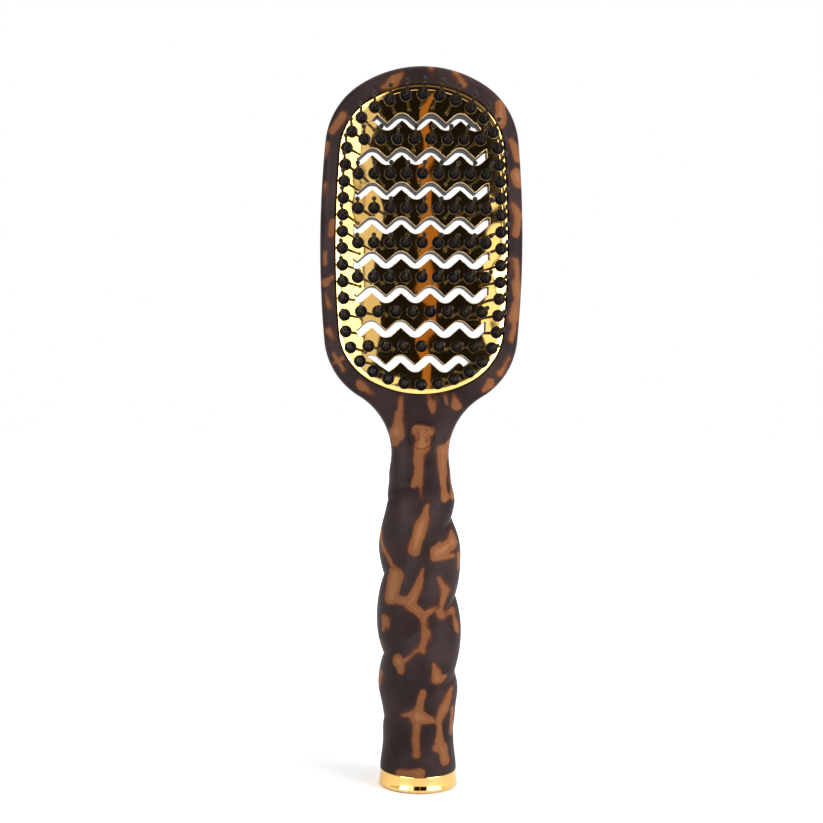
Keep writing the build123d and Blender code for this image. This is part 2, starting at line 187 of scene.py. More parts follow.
# ---------------------------------------------------------------------------- node helpers
@dataclass
class NodeDesk:
    """Short calls for wiring one material's nodes."""
    material: bpy.types.Material

    @classmethod
    def fresh(cls, name: str) -> "NodeDesk":
        """Start a material that holds only its output and a Principled shader."""
        material = bpy.data.materials.new(name)
        material.use_nodes = True
        return cls(material)

    @property
    def tree(self) -> bpy.types.NodeTree:
        """The material's node tree."""
        return self.material.node_tree

    @property
    def shader(self) -> bpy.types.Node:
        """The Principled shader."""
        return self.tree.nodes["Principled BSDF"]

    def add(self, kind: str, **values: object) -> bpy.types.Node:
        """Add a node and set its attributes."""
        node = self.tree.nodes.new(kind)
        for key, value in values.items():
            setattr(node, key, value)
        return node

    def link(self, source: object, target: object) -> None:
        """Join an output socket to an input socket, or set the input to a number."""
        if isinstance(source, bpy.types.NodeSocket):
            self.tree.links.new(source, target)
        else:
            target.default_value = source

    def feed(self, name: str, source: object) -> None:
        """Feed one of the shader's inputs from a socket, a number or a colour."""
        self.link(source, self.shader.inputs[name])

    def math(self, operation: str, first: object, second: object = 0.0,
             clamp: bool = False) -> bpy.types.NodeSocket:
        """One Math node; each input is a socket or a number."""
        node = self.add("ShaderNodeMath", operation=operation, use_clamp=clamp)
        self.link(first, node.inputs[0])
        self.link(second, node.inputs[1])
        return node.outputs[0]

    def place(self, scale: Tuple[float, float, float] = (1, 1, 1),
              turn: Tuple[float, float, float] = (0, 0, 0)) -> bpy.types.NodeSocket:
        """Object coordinates, scaled and turned."""
        spot = self.add("ShaderNodeTexCoord")
        mapping = self.add("ShaderNodeMapping")
        mapping.inputs["Scale"].default_value = scale
        mapping.inputs["Rotation"].default_value = turn
        self.link(spot.outputs["Object"], mapping.inputs["Vector"])
        return mapping.outputs["Vector"]

    def noise(self, vector: bpy.types.NodeSocket, scale: float, detail: float = 3.0,
              rough: float = 0.5) -> bpy.types.NodeSocket:
        """Noise with features of about 1/scale metres."""
        node = self.add("ShaderNodeTexNoise")
        self.link(vector, node.inputs["Vector"])
        node.inputs["Scale"].default_value = scale
        node.inputs["Detail"].default_value = detail
        node.inputs["Roughness"].default_value = rough
        return node.outputs["Fac"]

    def ramp(self, value: bpy.types.NodeSocket,
             stops: Sequence[Tuple[float, Tuple[float, float, float]]],
             ease: bool = False) -> bpy.types.NodeSocket:
        """Turn a value into a colour through a ramp of (place, colour) stops."""
        node = self.add("ShaderNodeValToRGB")
        ramp = node.color_ramp
        ramp.interpolation = "EASE" if ease else "LINEAR"
        while len(ramp.elements) < len(stops):
            ramp.elements.new(1.0)
        for element, (place, colour) in zip(ramp.elements, stops):
            element.position = place
            element.color = (*colour, 1.0)
        self.link(value, node.inputs["Fac"])
        return node.outputs["Color"]

    def span(self, value: bpy.types.NodeSocket, low: float, high: float,
             to_low: float = 0.0, to_high: float = 1.0) -> bpy.types.NodeSocket:
        """Map a range to another range, clamped."""
        node = self.add("ShaderNodeMapRange")
        self.link(value, node.inputs["Value"])
        for key, number in (("From Min", low), ("From Max", high), ("To Min", to_low),
                            ("To Max", to_high)):
            node.inputs[key].default_value = number
        return node.outputs["Result"]

    def mix(self, share: object, first: object, second: object) -> bpy.types.NodeSocket:
        """Mix two colours by a share."""
        node = self.add("ShaderNodeMix", data_type="RGBA")
        self.link(share, node.inputs[0])
        self.link(first if isinstance(first, bpy.types.NodeSocket) else (*first, 1.0),
                  node.inputs[6])
        self.link(second if isinstance(second, bpy.types.NodeSocket) else (*second, 1.0),
                  node.inputs[7])
        return node.outputs[2]

    def bump(self, height: bpy.types.NodeSocket, metres: float, strength: float = 1.0) -> None:
        """Drive the shader's normal from a height field of this depth."""
        node = self.add("ShaderNodeBump")
        node.inputs["Distance"].default_value = metres
        node.inputs["Strength"].default_value = strength
        self.link(height, node.inputs["Height"])
        self.link(node.outputs["Normal"], self.shader.inputs["Normal"])


# ---------------------------------------------------------------------------- finishes
@dataclass(frozen=True)
class TortoiseFinish:
    """Soft-touch tortoise pattern: dark plum-brown ground with amber patches, red at the rim.

    The attribute "patch" is a signed field, above zero inside a patch. Noise roughens its
    contour, and a second noise marbles both colours.
    """
    ground: Tuple[float, float, float] = (0.017, 0.0085, 0.0080)
    ground_light: Tuple[float, float, float] = (0.036, 0.020, 0.018)
    rust: Tuple[float, float, float] = (0.095, 0.025, 0.010)
    amber: Tuple[float, float, float] = (0.215, 0.078, 0.027)
    honey: Tuple[float, float, float] = (0.29, 0.120, 0.048)
    roughness: float = 0.50

    def make(self, name: str) -> bpy.types.Material:
        """Build the material."""
        desk = NodeDesk.fresh(name)
        place = desk.place()
        patch = desk.add("ShaderNodeAttribute", attribute_name="patch").outputs["Fac"]
        ragged = desk.noise(place, 230.0, 2.0, 0.5)
        edge = desk.math("ADD", patch, desk.span(ragged, 0.25, 0.75, -0.30, 0.30))
        cloudy = desk.noise(place, 75.0, 3.0, 0.5)
        ground = desk.ramp(cloudy, [(0.38, self.ground), (0.66, self.ground_light)])
        streak = desk.noise(desk.place((1, 1, 0.35)), 160.0, 2.0, 0.5)
        heart = desk.math("ADD", edge, desk.span(streak, 0.3, 0.7, -0.30, 0.30))
        amber = desk.ramp(desk.span(heart, -0.1, 1.3), [
            (0.0, self.rust), (0.30, self.amber), (0.62, self.amber), (1.0, self.honey)])
        share = desk.span(edge, -0.09, 0.09)
        rusty = desk.mix(desk.span(edge, -0.55, -0.05, 0.0, 0.45), ground, self.rust)
        desk.feed("Base Color", desk.mix(share, rusty, amber))
        grain = desk.noise(place, 2600.0, 2.0)
        desk.feed("Roughness",
                  desk.span(grain, 0.3, 0.7, self.roughness - 0.05, self.roughness + 0.06))
        desk.feed("Specular IOR Level", 0.09)
        desk.bump(grain, 0.00003, 0.35)
        return desk.material


@dataclass(frozen=True)
class MetalFinish:
    """Plated or plain metal with faint wear: fine noise in roughness and a slow tint change."""
    colour: Tuple[float, float, float]
    tint: Tuple[float, float, float]
    roughness: float = 0.05
    wear: float = 0.03
    bump_depth: float = 0.0
    brushed: bool = False
    ripple: float = 0.0         # metres of slow unevenness, as stamping leaves

    def make(self, name: str) -> bpy.types.Material:
        """Build the material."""
        desk = NodeDesk.fresh(name)
        scale = (1.0, 1.0, 12.0) if self.brushed else (1.0, 1.0, 1.0)
        place = desk.place(scale)
        slow = desk.noise(place, 45.0, 2.0)
        desk.feed("Base Color", desk.mix(desk.span(slow, 0.35, 0.65), self.colour, self.tint))
        fine = desk.noise(place, 900.0, 4.0, 0.6)
        desk.feed("Roughness",
                  desk.span(fine, 0.4, 0.75, self.roughness, self.roughness + self.wear))
        desk.feed("Metallic", 1.0)
        if self.bump_depth:
            desk.bump(fine, self.bump_depth, 0.4)
        if self.ripple:
            desk.bump(desk.noise(place, 110.0, 0.0, 0.4), self.ripple, 1.0)
        return desk.material


@dataclass(frozen=True)
class NylonFinish:
    """Glossy near-black nylon with a faint brown cloud and moulding haze."""
    colour: Tuple[float, float, float] = (0.004, 0.003, 0.003)
    tint: Tuple[float, float, float] = (0.012, 0.007, 0.006)
    roughness: float = 0.13

    def make(self, name: str) -> bpy.types.Material:
        """Build the material."""
        desk = NodeDesk.fresh(name)
        place = desk.place()
        cloud = desk.noise(place, 260.0, 2.0)
        desk.feed("Base Color", desk.mix(desk.span(cloud, 0.3, 0.7), self.colour, self.tint))
        haze = desk.noise(place, 2200.0, 2.0)
        gloss = desk.span(haze, 0.3, 0.7, self.roughness, self.roughness + 0.08)
        shaft = desk.add("ShaderNodeAttribute", attribute_name="shaft").outputs["Fac"]
        desk.feed("Roughness", desk.math("ADD", gloss, desk.math("MULTIPLY", shaft, 0.55)))
        desk.feed("Specular IOR Level", 0.16)
        return desk.material


@dataclass(frozen=True)
class RubberFinish:
    """Matte charcoal rubber with a pebbled skin."""
    colour: Tuple[float, float, float] = (0.022, 0.022, 0.024)

    def make(self, name: str) -> bpy.types.Material:
        """Build the material."""
        desk = NodeDesk.fresh(name)
        place = desk.place()
        cloud = desk.noise(place, 400.0, 3.0)
        desk.feed("Base Color", desk.ramp(cloud, [(0.3, self.colour), (0.8, (0.05, 0.05, 0.052))]))
        desk.feed("Roughness", 0.82)
        cells = desk.add("ShaderNodeTexVoronoi")
        cells.inputs["Scale"].default_value = 1600.0
        desk.link(place, cells.inputs["Vector"])
        desk.bump(cells.outputs["Distance"], 0.00006, 0.5)
        return desk.material


# ---------------------------------------------------------------------------- outlines
@dataclass(frozen=True)
class Oval:
    """Oval of eight tangent arcs about (0, middle): crown and chin, two sides, four corners."""
    half_width: float
    half_length: float
    end_radius: float
    side_radius: float
    corner_radius: float
    middle: float = 178.5

    def line(self, count: int) -> Tuple[Array, Array]:
        """Points evenly spaced along the arcs, clockwise from the crown.

        Each arc is centre plus radius times (cosine, sine) of an angle that runs evenly with
        the length travelled.
        """
        end_c, side_c = self.half_length - self.end_radius, self.half_width - self.side_radius
        reach_e = self.end_radius - self.corner_radius
        reach_s = self.side_radius - self.corner_radius
        gap = np.hypot(end_c, side_c)
        along = (gap * gap + reach_e ** 2 - reach_s ** 2) / (2 * gap)
        off = np.sqrt(reach_e ** 2 - along ** 2)
        ux, uz = side_c / gap, -end_c / gap
        cx, cz = ux * along + uz * off, end_c + uz * along - ux * off
        ea, sa = np.arctan2(cz - end_c, cx), np.arctan2(cz, cx - side_c)
        pi = np.pi
        arcs = np.array([
            (0, end_c, self.end_radius, pi - ea, ea), (cx, cz, self.corner_radius, ea, sa),
            (side_c, 0, self.side_radius, sa, -sa), (cx, -cz, self.corner_radius, -sa, -ea),
            (0, -end_c, self.end_radius, -ea, ea - pi),
            (-cx, -cz, self.corner_radius, ea - pi, sa - pi),
            (-side_c, 0, self.side_radius, sa - pi, -sa - pi),
            (-cx, cz, self.corner_radius, -sa - pi, -ea - pi)])
        lengths = arcs[:, 2] * (arcs[:, 3] - arcs[:, 4])
        ends = np.concatenate([[0], np.cumsum(lengths)])
        run = (lengths[0] / 2 + ends[-1] * np.arange(count) / count) % ends[-1]
        n = np.clip(np.searchsorted(ends, run, side="right") - 1, 0, 7)
        angle = arcs[n, 3] - (run - ends[n]) / arcs[n, 2]
        return (arcs[n, 0] + arcs[n, 2] * np.cos(angle),
                self.middle + arcs[n, 1] + arcs[n, 2] * np.sin(angle))

    def at_angles(self, angles: Array) -> Tuple[Array, Array]:
        """Points of the oval on rays from its middle; angles from +Z towards +X."""
        x, z = self.line(2880)
        seen = np.unwrap(np.arctan2(x, z - self.middle))
        reach = np.hypot(x, z - self.middle)
        reach = np.interp(angles % (2 * np.pi), seen % (2 * np.pi), reach,
                          period=2 * np.pi)
        return reach * np.sin(angles), self.middle + reach * np.cos(angles)


def edge_normals(x: Array, z: Array) -> Tuple[Array, Array]:
    """Unit normals that point into a closed line drawn clockwise."""
    dx, dz = np.roll(x, -1) - np.roll(x, 1), np.roll(z, -1) - np.roll(z, 1)
    size = np.hypot(dx, dz)
    return dz / size, -dx / size


@dataclass(frozen=True)
class BrushForm:
    """The sizes that the casing, the plate and the pins share."""
    height: float = 235.3
    head: Oval = Oval(33.35, 56.8, 39.0, 350.0, 24.0)
    opening: Oval = Oval(28.55, 50.65, 34.0, 345.0, 20.5)
    face_radius: float = 150.0
    face_crest: float = 6.2
    back_radius: float = 400.0
    back_crest: float = 3.4
    face_round: float = 2.4
    back_round: float = 1.8
    plate_recess: float = 0.5
    plate_thickness: float = 1.0
    ledge: float = 0.9
    neck_blend: float = 22.0
    neck_blend_z: float = 108.43
    cut_z: float = 112.0
    cap_height: float = 5.4

    @property
    def face_axis(self) -> float:
        """y of the axis of the face's cylinder."""
        return self.face_radius - self.face_crest

    def cylinder(self, radius: float, x: Array) -> Array:
        """y at x of a cylinder about the face's axis: axis minus root of radius² less x²."""
        return self.face_axis - np.sqrt(radius ** 2 - x * x)

    @property
    def plate_face(self) -> float:
        """Radius of the plate's face."""
        return self.face_radius - self.plate_recess

    @property
    def plate_back(self) -> float:
        """Radius of the plate's back."""
        return self.plate_face - self.plate_thickness


FORM = BrushForm()


# ---------------------------------------------------------------------------- handle
@dataclass(frozen=True)
class TwistedHandle:
    """Width, depth and twist of the handle and the neck.

    Grooves wind round the handle. Between two creases the skin swells like a rope's strand: its
    depth below the crest is the groove's depth times |2f - 1| to a power, where f runs from 0
    to 1 from one crease to the next.
    """
    heights: Tuple[float, ...] = (5.4, 15, 24, 34, 53, 76, 92, 101, 108.5, 118, 128)
    half_widths: Tuple[float, ...] = (12.45, 11.6, 12.1, 13.3, 13.9, 13.6, 11.9, 10.2, 9.45,
                                      9.45, 9.45)
    front_depths: Tuple[float, ...] = (12.45, 11.6, 12.1, 13.2, 13.6, 13.2, 11.2, 8.8, 7.2,
                                       6.8, 5.8)
    rear_depths: Tuple[float, ...] = (12.45, 11.6, 12.1, 13.2, 13.6, 13.2, 11.2, 8.8, 7.2,
                                      5.2, 3.0)
    squareness: Tuple[float, ...] = (2, 2, 2, 2, 2, 2, 2.2, 2.5, 2.8, 2.8, 2.6)
    groove_heights: Tuple[float, ...] = (14, 24, 34, 45, 84, 96, 108)
    groove_depths: Tuple[float, ...] = (0.0, 0.9, 1.6, 2.1, 2.1, 1.3, 0.0)
    swell: float = 2.3
    twist_middle: float = 64.0          # height about which the twist is slowest
    twist_span: float = 40.0
    twist_terms: Tuple[float, float, float] = (1.18, 1.49, 0.22)
    twist_lag: float = 0.13             # turns by which the grooves trail round the back

    def half_width(self, z: Array) -> Array:
        """Half width, flaring into the head by an arc above the neck."""
        flare = np.clip(z - FORM.neck_blend_z, 0.0, FORM.neck_blend - 0.01)
        return (eased(self.heights, self.half_widths, z) + FORM.neck_blend
                - np.sqrt(FORM.neck_blend ** 2 - flare ** 2))

    def turns(self, z: Array) -> Array:
        """Turns of the twist, counted downwards: a cubic of height, slowest at mid-handle."""
        start, even, cubic = self.twist_terms
        w = (self.twist_middle - z) / self.twist_span
        return start + even * w + cubic * w ** 3

    def groove(self, z: Array, angle: Array) -> Array:
        """Depth below the crest at a height and an angle from -X through -Y."""
        lead = angle / (2 * np.pi) + self.twist_lag * (1 - np.cos(angle))
        f = (self.turns(z) + lead) % 1.0
        return (eased(self.groove_heights, self.groove_depths, z)
                * np.abs(2 * f - 1) ** self.swell)

    def skin(self, z: Array, angle: Array, front: bool) -> Tuple[Array, Array]:
        """x and y of the skin: a superellipse whose radius the groove shortens.

        Args:
            z: heights.
            angle: angles from -X, through -Y in front or through +Y behind, 0 to pi.
            front: True for the half on the pins' side.
        """
        a = self.half_width(z)
        b = eased(self.heights, self.front_depths if front else self.rear_depths, z)
        power = 2.0 / eased(self.heights, self.squareness, z)
        c, s = np.cos(angle), np.clip(np.sin(angle), 0.0, 1.0)
        x = -a * np.sign(c) * np.abs(c) ** power
        y = b * s ** power
        turn = angle if front else 2 * np.pi - angle
        shrink = 1 - self.groove(z, turn) / np.hypot(x, y)
        return x * shrink, (-y if front else y) * shrink


HANDLE = TwistedHandle()


# ---------------------------------------------------------------------------- tortoise patches
class Side(Enum):
    """Which side of the parting plane a thing lies on."""
    FRONT = -1
    REAR = 1


@dataclass(frozen=True)
class PatchMap:
    """Amber patches: tapered strokes on the skin, each (x1, z1, r1, x2, z2, r2), by side."""
    front: Tuple[Tuple[float, float, float, float, float, float], ...] = (
        # neck and chin
        (-6.3, 127.6, 0.4, -7.2, 121.2, 0.9), (-7.2, 121.2, 0.9, -7.7, 115.5, 2.2),
        (-7.7, 115.5, 2.2, -8.3, 112.0, 0.6), (2.4, 127.0, 1.2, 3.9, 122.6, 0.5),
        (4.6, 126.8, 0.8, 3.9, 122.8, 0.5), (7.6, 127.8, 0.9, 8.4, 125.2, 0.3),
        (10.8, 127.8, 0.4, 11.6, 124.4, 1.5), (-19.6, 131.3, 1.4, -15.8, 127.8, 0.4),
        (22.6, 131.6, 1.4, 20.4, 129.4, 0.5), (-1.4, 116.2, 1.3, 3.0, 115.8, 1.3),
        (0.8, 115.0, 2.4, 0.6, 111.0, 2.2), (-0.6, 111.0, 1.6, -0.6, 103.0, 1.1),
        (-0.6, 103.0, 1.2, -2.4, 98.4, 0.5), (-0.4, 102.5, 1.0, 0.2, 95.3, 0.3),
        (9.6, 113.2, 0.5, 7.0, 109.6, 1.9), (7.0, 109.6, 1.9, 7.2, 101.5, 0.8),
        (7.2, 101.5, 0.8, 7.8, 94.4, 1.0), (10.8, 107.0, 0.9, 10.6, 95.0, 0.9),
        # upper handle
        (2.2, 92.2, 0.4, 0.3, 86.0, 1.8), (0.3, 86.0, 1.8, -2.0, 78.4, 2.0),
        (-12.9, 83.0, 1.2, -11.8, 77.0, 0.7), (-11.8, 77.0, 0.7, -9.0, 70.5, 0.9),
        (-8.2, 70.2, 2.3, -9.4, 62.5, 2.2), (10.9, 87.7, 0.4, 10.4, 80.0, 1.8),
        (10.4, 80.0, 1.8, 5.2, 77.2, 2.0), (5.2, 77.0, 1.9, 6.6, 81.7, 0.3),
        (4.4, 75.6, 1.0, 10.8, 75.8, 0.6), (12.6, 76.0, 0.7, 12.7, 72.0, 0.7),
        (0.6, 72.0, 0.3, -0.8, 66.5, 1.2), (-0.8, 66.5, 1.2, -3.4, 61.0, 1.5),
        (-9.2, 62.3, 1.4, -3.4, 61.4, 1.2), (-3.4, 60.6, 1.6, 1.0, 57.0, 1.0),
        (1.0, 57.0, 1.0, 5.0, 59.6, 0.8), (6.0, 69.2, 0.4, 8.2, 65.0, 1.4),
        (8.2, 65.0, 1.2, 6.4, 58.5, 0.9), (12.6, 64.0, 0.6, 11.2, 58.6, 1.2),
        (11.2, 58.4, 1.2, 7.2, 56.8, 1.4), (7.2, 56.8, 1.3, 5.4, 59.2, 0.8),
        (11.2, 58.0, 0.8, 12.6, 51.0, 0.6), (1.0, 57.0, 0.9, 1.8, 51.5, 1.3),
        (1.8, 51.5, 1.4, 0.8, 46.3, 0.9), (0.8, 47.5, 0.7, -5.2, 42.6, 0.5),
        (-6.8, 42.4, 1.8, -6.2, 39.4, 0.8), (-11.2, 55.4, 1.0, -11.9, 51.2, 0.5),
        (-10.8, 55.3, 0.7, -10.5, 52.6, 0.3),
        # lower handle
        (4.5, 41.5, 0.5, 5.8, 36.8, 1.9), (5.8, 36.8, 1.6, 8.2, 37.2, 0.4),
        (1.0, 32.8, 0.7, -0.6, 26.0, 1.2), (-0.6, 25.6, 1.3, -5.6, 24.8, 0.4),
        (-0.8, 24.5, 2.4, 4.8, 23.0, 0.5), (-0.8, 24.0, 1.7, -1.2, 19.0, 0.7),
        (-1.2, 19.0, 0.7, -1.2, 12.4, 1.2), (10.4, 32.2, 0.8, 7.8, 26.5, 1.7),
        (7.8, 26.5, 1.7, 5.8, 22.5, 0.8), (6.2, 23.0, 0.8, 6.6, 17.0, 0.7),
        (6.6, 16.5, 1.3, 8.6, 9.8, 1.3), (5.0, 14.2, 0.8, 8.0, 13.4, 1.0),
        (10.9, 26.0, 0.7, 10.6, 18.0, 0.5), (-6.2, 6.2, 1.0, 0.0, 6.6, 1.5),
        (-12.6, 37.2, 0.6, -12.9, 33.0, 0.5), (-12.8, 47.5, 0.5, -12.6, 44.0, 0.5),
        # rim of the head
        (-6.6, 232.2, 0.6, -9.5, 229.6, 1.7), (-9.5, 229.6, 1.7, -12.8, 228.0, 1.0),
        (2.4, 235.0, 1.2, 2.8, 231.3, 0.3), (10.6, 233.2, 1.1, 12.8, 229.0, 1.1),
        (25.4, 223.0, 1.3, 25.6, 217.0, 1.7), (-26.3, 218.8, 1.3, -29.4, 214.3, 1.4),
        (-31.6, 210.0, 0.8, -31.8, 206.0, 0.7), (29.2, 211.2, 0.8, 31.8, 206.0, 1.7),
        (31.2, 200.2, 2.0, 31.6, 197.3, 1.6), (29.8, 190.4, 0.9, 31.7, 187.0, 1.8),
        (31.7, 187.0, 1.6, 31.0, 181.0, 1.2), (31.2, 164.7, 1.7, 31.8, 160.6, 1.6),
        (-31.8, 196.4, 0.6, -32.0, 193.0, 0.5), (-29.4, 184.2, 0.8, -29.6, 180.3, 0.9),
        (-29.4, 166.0, 0.8, -31.8, 164.3, 1.1), (-28.7, 141.2, 0.3, -25.3, 136.0, 0.6),
        (-29.2, 137.6, 0.2, -25.8, 139.6, 0.4), (28.8, 139.8, 0.6, 26.0, 135.2, 1.0),
        (31.2, 172.0, 0.7, 31.4, 166.5, 1.0), (31.2, 158.2, 1.3, 30.4, 153.2, 1.6),
        (30.6, 150.6, 0.8, 29.6, 146.2, 0.8), (-31.8, 160.8, 0.7, -30.0, 156.4, 0.6),
        (-31.6, 174.0, 0.5, -31.9, 170.8, 0.6), (-30.4, 148.8, 0.9, -29.0, 146.4, 0.4))
    rear: Tuple[Tuple[float, float, float, float, float, float], ...] = (
        (-3, 122, 1.0, 2, 113, 2.8), (2, 113, 2.4, -1, 105, 0.5), (6, 108, 0.6, 7, 98, 2.0),
        (-5, 98, 0.8, -6, 88, 2.4), (-6, 88, 2.0, -1, 84, 0.6), (3, 92, 0.5, 6, 78, 2.4),
        (-9, 80, 0.8, -6, 70, 2.4), (-6, 70, 1.8, 0, 66, 1.0), (0, 66, 1.2, 4, 58, 2.8),
        (4, 58, 1.6, 9, 56, 0.6), (-7, 61, 0.6, -5, 50, 2.4), (8, 51, 0.5, 6, 41, 2.2),
        (6, 41, 1.6, 0, 38, 1.4), (-2, 46, 0.6, 0, 37, 2.4), (-9, 35, 0.5, -7, 27, 2.0),
        (-7, 27, 1.2, -1, 24, 0.5), (5, 29, 0.5, 8, 20, 2.2), (-3, 22, 0.6, -1, 12, 2.0),
        (-1, 12, 1.4, 5, 9, 0.6), (-18, 136, 0.8, -12, 141, 2.4), (14, 134, 0.8, 21, 140, 2.4),
        (-3, 139, 0.6, 4, 137, 1.9), (-30, 156, 0.6, -26, 168, 2.4),
        (-26, 168, 1.6, -30, 174, 0.6),
        (-14, 150, 0.6, -8, 147, 1.8), (9, 153, 0.6, 17, 150, 2.0), (28, 160, 0.7, 30, 172, 2.2),
        (-30, 186, 0.6, -27, 196, 2.2), (-20, 184, 0.6, -12, 182, 2.0),
        (2, 172, 0.5, 10, 171, 1.8), (16, 186, 0.6, 22, 183, 2.2), (29, 194, 0.6, 26, 204, 2.4),
        (26, 204, 1.8, 21, 207, 0.5), (-24, 212, 0.8, -18, 219, 2.8),
        (-18, 219, 1.8, -11, 221, 0.6),
        (-8, 207, 0.6, 0, 205, 2.0), (10, 216, 0.7, 18, 212, 2.4), (-5, 228, 0.7, 5, 229, 2.2),
        (21, 224, 0.6, 17, 228, 1.8))

    def field(self, points: Array) -> Array:
        """Signed field at each point: 1 on a stroke's spine, 0 at its edge, below 0 outside.

        It is the highest, over all strokes, of one less the distance to the stroke's spine
        over the radius there, which runs evenly from one end's to the other's; distance along
        Y counts for less, so that a stroke also fills a groove. Strokes that meet are joined
        softly.
        """
        best = np.full(len(points), -9.0)
        for side, strokes in ((Side.FRONT, self.front), (Side.REAR, self.rear)):
            for x1, z1, r1, x2, z2, r2 in strokes:
                ends = np.array([[x1, self.depth(x1, z1, side), z1],
                                 [x2, self.depth(x2, z2, side), z2]])
                run = ends[1] - ends[0]
                share = np.clip((points - ends[0]) @ run / (run @ run), 0.0, 1.0)
                away = (points - ends[0] - share[:, None] * run) * (1.0, 0.4, 1.0)
                inside = (r1 + (r2 - r1) * share + 0.3 - np.linalg.norm(away, axis=1)) / 1.5
                both = np.maximum(best, inside)
                blend = np.clip(1 - np.abs(best - inside) / 0.35, 0, 1)
                best = both + 0.09 * blend ** 2
        return best

    @staticmethod
    def depth(x: float, z: float, side: Side) -> float:
        """Rough y of the skin: an ellipse on the handle, nearly flat on the head."""
        if z > 126:
            return side.value * (4.0 if side is Side.FRONT else 2.6)
        a = float(HANDLE.half_width(np.array(z)))
        b = float(eased(HANDLE.heights, HANDLE.front_depths, np.array(z)))
        return side.value * b * float(np.sqrt(max(0.02, 1 - (x / a) ** 2)))


def paint_patches(thing: bpy.types.Object, patches: PatchMap) -> None:
    """Store the patches' field on the mesh as the attribute "patch"."""
    store_values(thing.data, "patch", patches.field(points_of(thing.data)))


# ---------------------------------------------------------------------------- vents
@dataclass(frozen=True)
class WavyVents:
    """Eight wavy vents in the plate and the rear casing, clipped to an oval."""
    count: int = 8
    width: float = 2.5
    period: float = 9.6
    flank: float = 42.0
    bend: float = 1.75          # of the stroke's middle line
    step: float = 0.06          # between points of the middle line
    crest_x: float = 2.9
    pitch: float = 11.25
    middle: float = 177.45
    clip: Oval = Oval(22.4, 45.2, 28.0, 339.0, 14.5)

    def middle_line(self) -> Tuple[Array, Array, Array, Array]:
        """Zigzag with rounded corners: x, rise and the unit normal, from left to right.

        Along each flank the heading is +-flank; in each corner it turns evenly through twice
        the flank's angle on an arc. The line is the running sum of its unit heading.
        """
        flank = np.radians(self.flank)
        arc = 2 * flank * self.bend
        straight = self.period / 2 / np.cos(flank) - 2 * self.bend * np.tan(flank)
        half = straight + arc
        run = np.arange(-8 * half, 8 * half, self.step)
        cycle = (run / (2 * half)) % 1.0 * 2 * half
        up = np.clip((cycle - straight / 2) / arc, 0, 1)
        down = np.clip((cycle - half - straight / 2) / arc, 0, 1)
        heading = flank * (1 - 2 * up + 2 * down)
        x = np.cumsum(np.cos(heading)) * self.step
        rise = np.cumsum(np.sin(heading)) * self.step
        near = np.argmin(np.abs(run - half / 2))
        x += self.crest_x - x[near]
        rise -= (rise.max() + rise.min()) / 2
        return x, rise, -np.sin(heading), np.cos(heading)

    def loops(self, widen: float = 0.0) -> List[Tuple[Array, Array]]:
        """Closed outlines of the vents in x and z, each wider by widen all round.

        The two edges stand half the width to either side of the middle line. Of each edge, the
        run round its middle that lies inside the clipping oval is kept.
        """
        x, rise, nx, nz = self.middle_line()
        ox, oz = self.clip.line(720)
        order = np.argsort(oz[:361])
        loops = []
        for n in range(self.count):
            base = self.middle + self.pitch * (n - (self.count - 1) / 2)
            kept = []
            for edge in (1, -1):
                half = self.width / 2 + widen
                ex, ez = x + edge * nx * half, base + rise + edge * nz * half
                limit = np.interp(ez, oz[:361][order], ox[:361][order]) + widen
                inside = (np.abs(ex) < limit) | (np.abs(ex) < self.period)
                centre = np.argmin(np.abs(ex))
                left = centre - np.argmin(inside[:centre + 1][::-1]) + 1
                right = centre + np.argmin(inside[centre:])
                kept.append((ex[left:right:4], ez[left:right:4]))
            (ax, az), (bx, bz) = kept
            loops.append((np.concatenate([ax, bx[::-1]]), np.concatenate([az, bz[::-1]])))
        return loops

    def cutter(self, name: str, widen: float, y_low: float, y_high: float) -> bpy.types.Object:
        """Prisms through the vents, from y_low to y_high."""
        mesh, work = bpy.data.meshes.new(name), bmesh.new()
        for x, z in self.loops(widen):
            rings = [[work.verts.new((a * MM, y * MM, b * MM)) for a, b in zip(x, z)]
                     for y in (y_low, y_high)]
            work.faces.new(rings[0])
            work.faces.new(rings[1][::-1])
            for k in range(len(x)):
                j = (k + 1) % len(x)
                work.faces.new((rings[0][j], rings[0][k], rings[1][k], rings[1][j]))
        bmesh.ops.recalc_face_normals(work, faces=work.faces)
        work.to_mesh(mesh)
        work.free()
        return add_object(name, mesh)


VENTS = WavyVents()


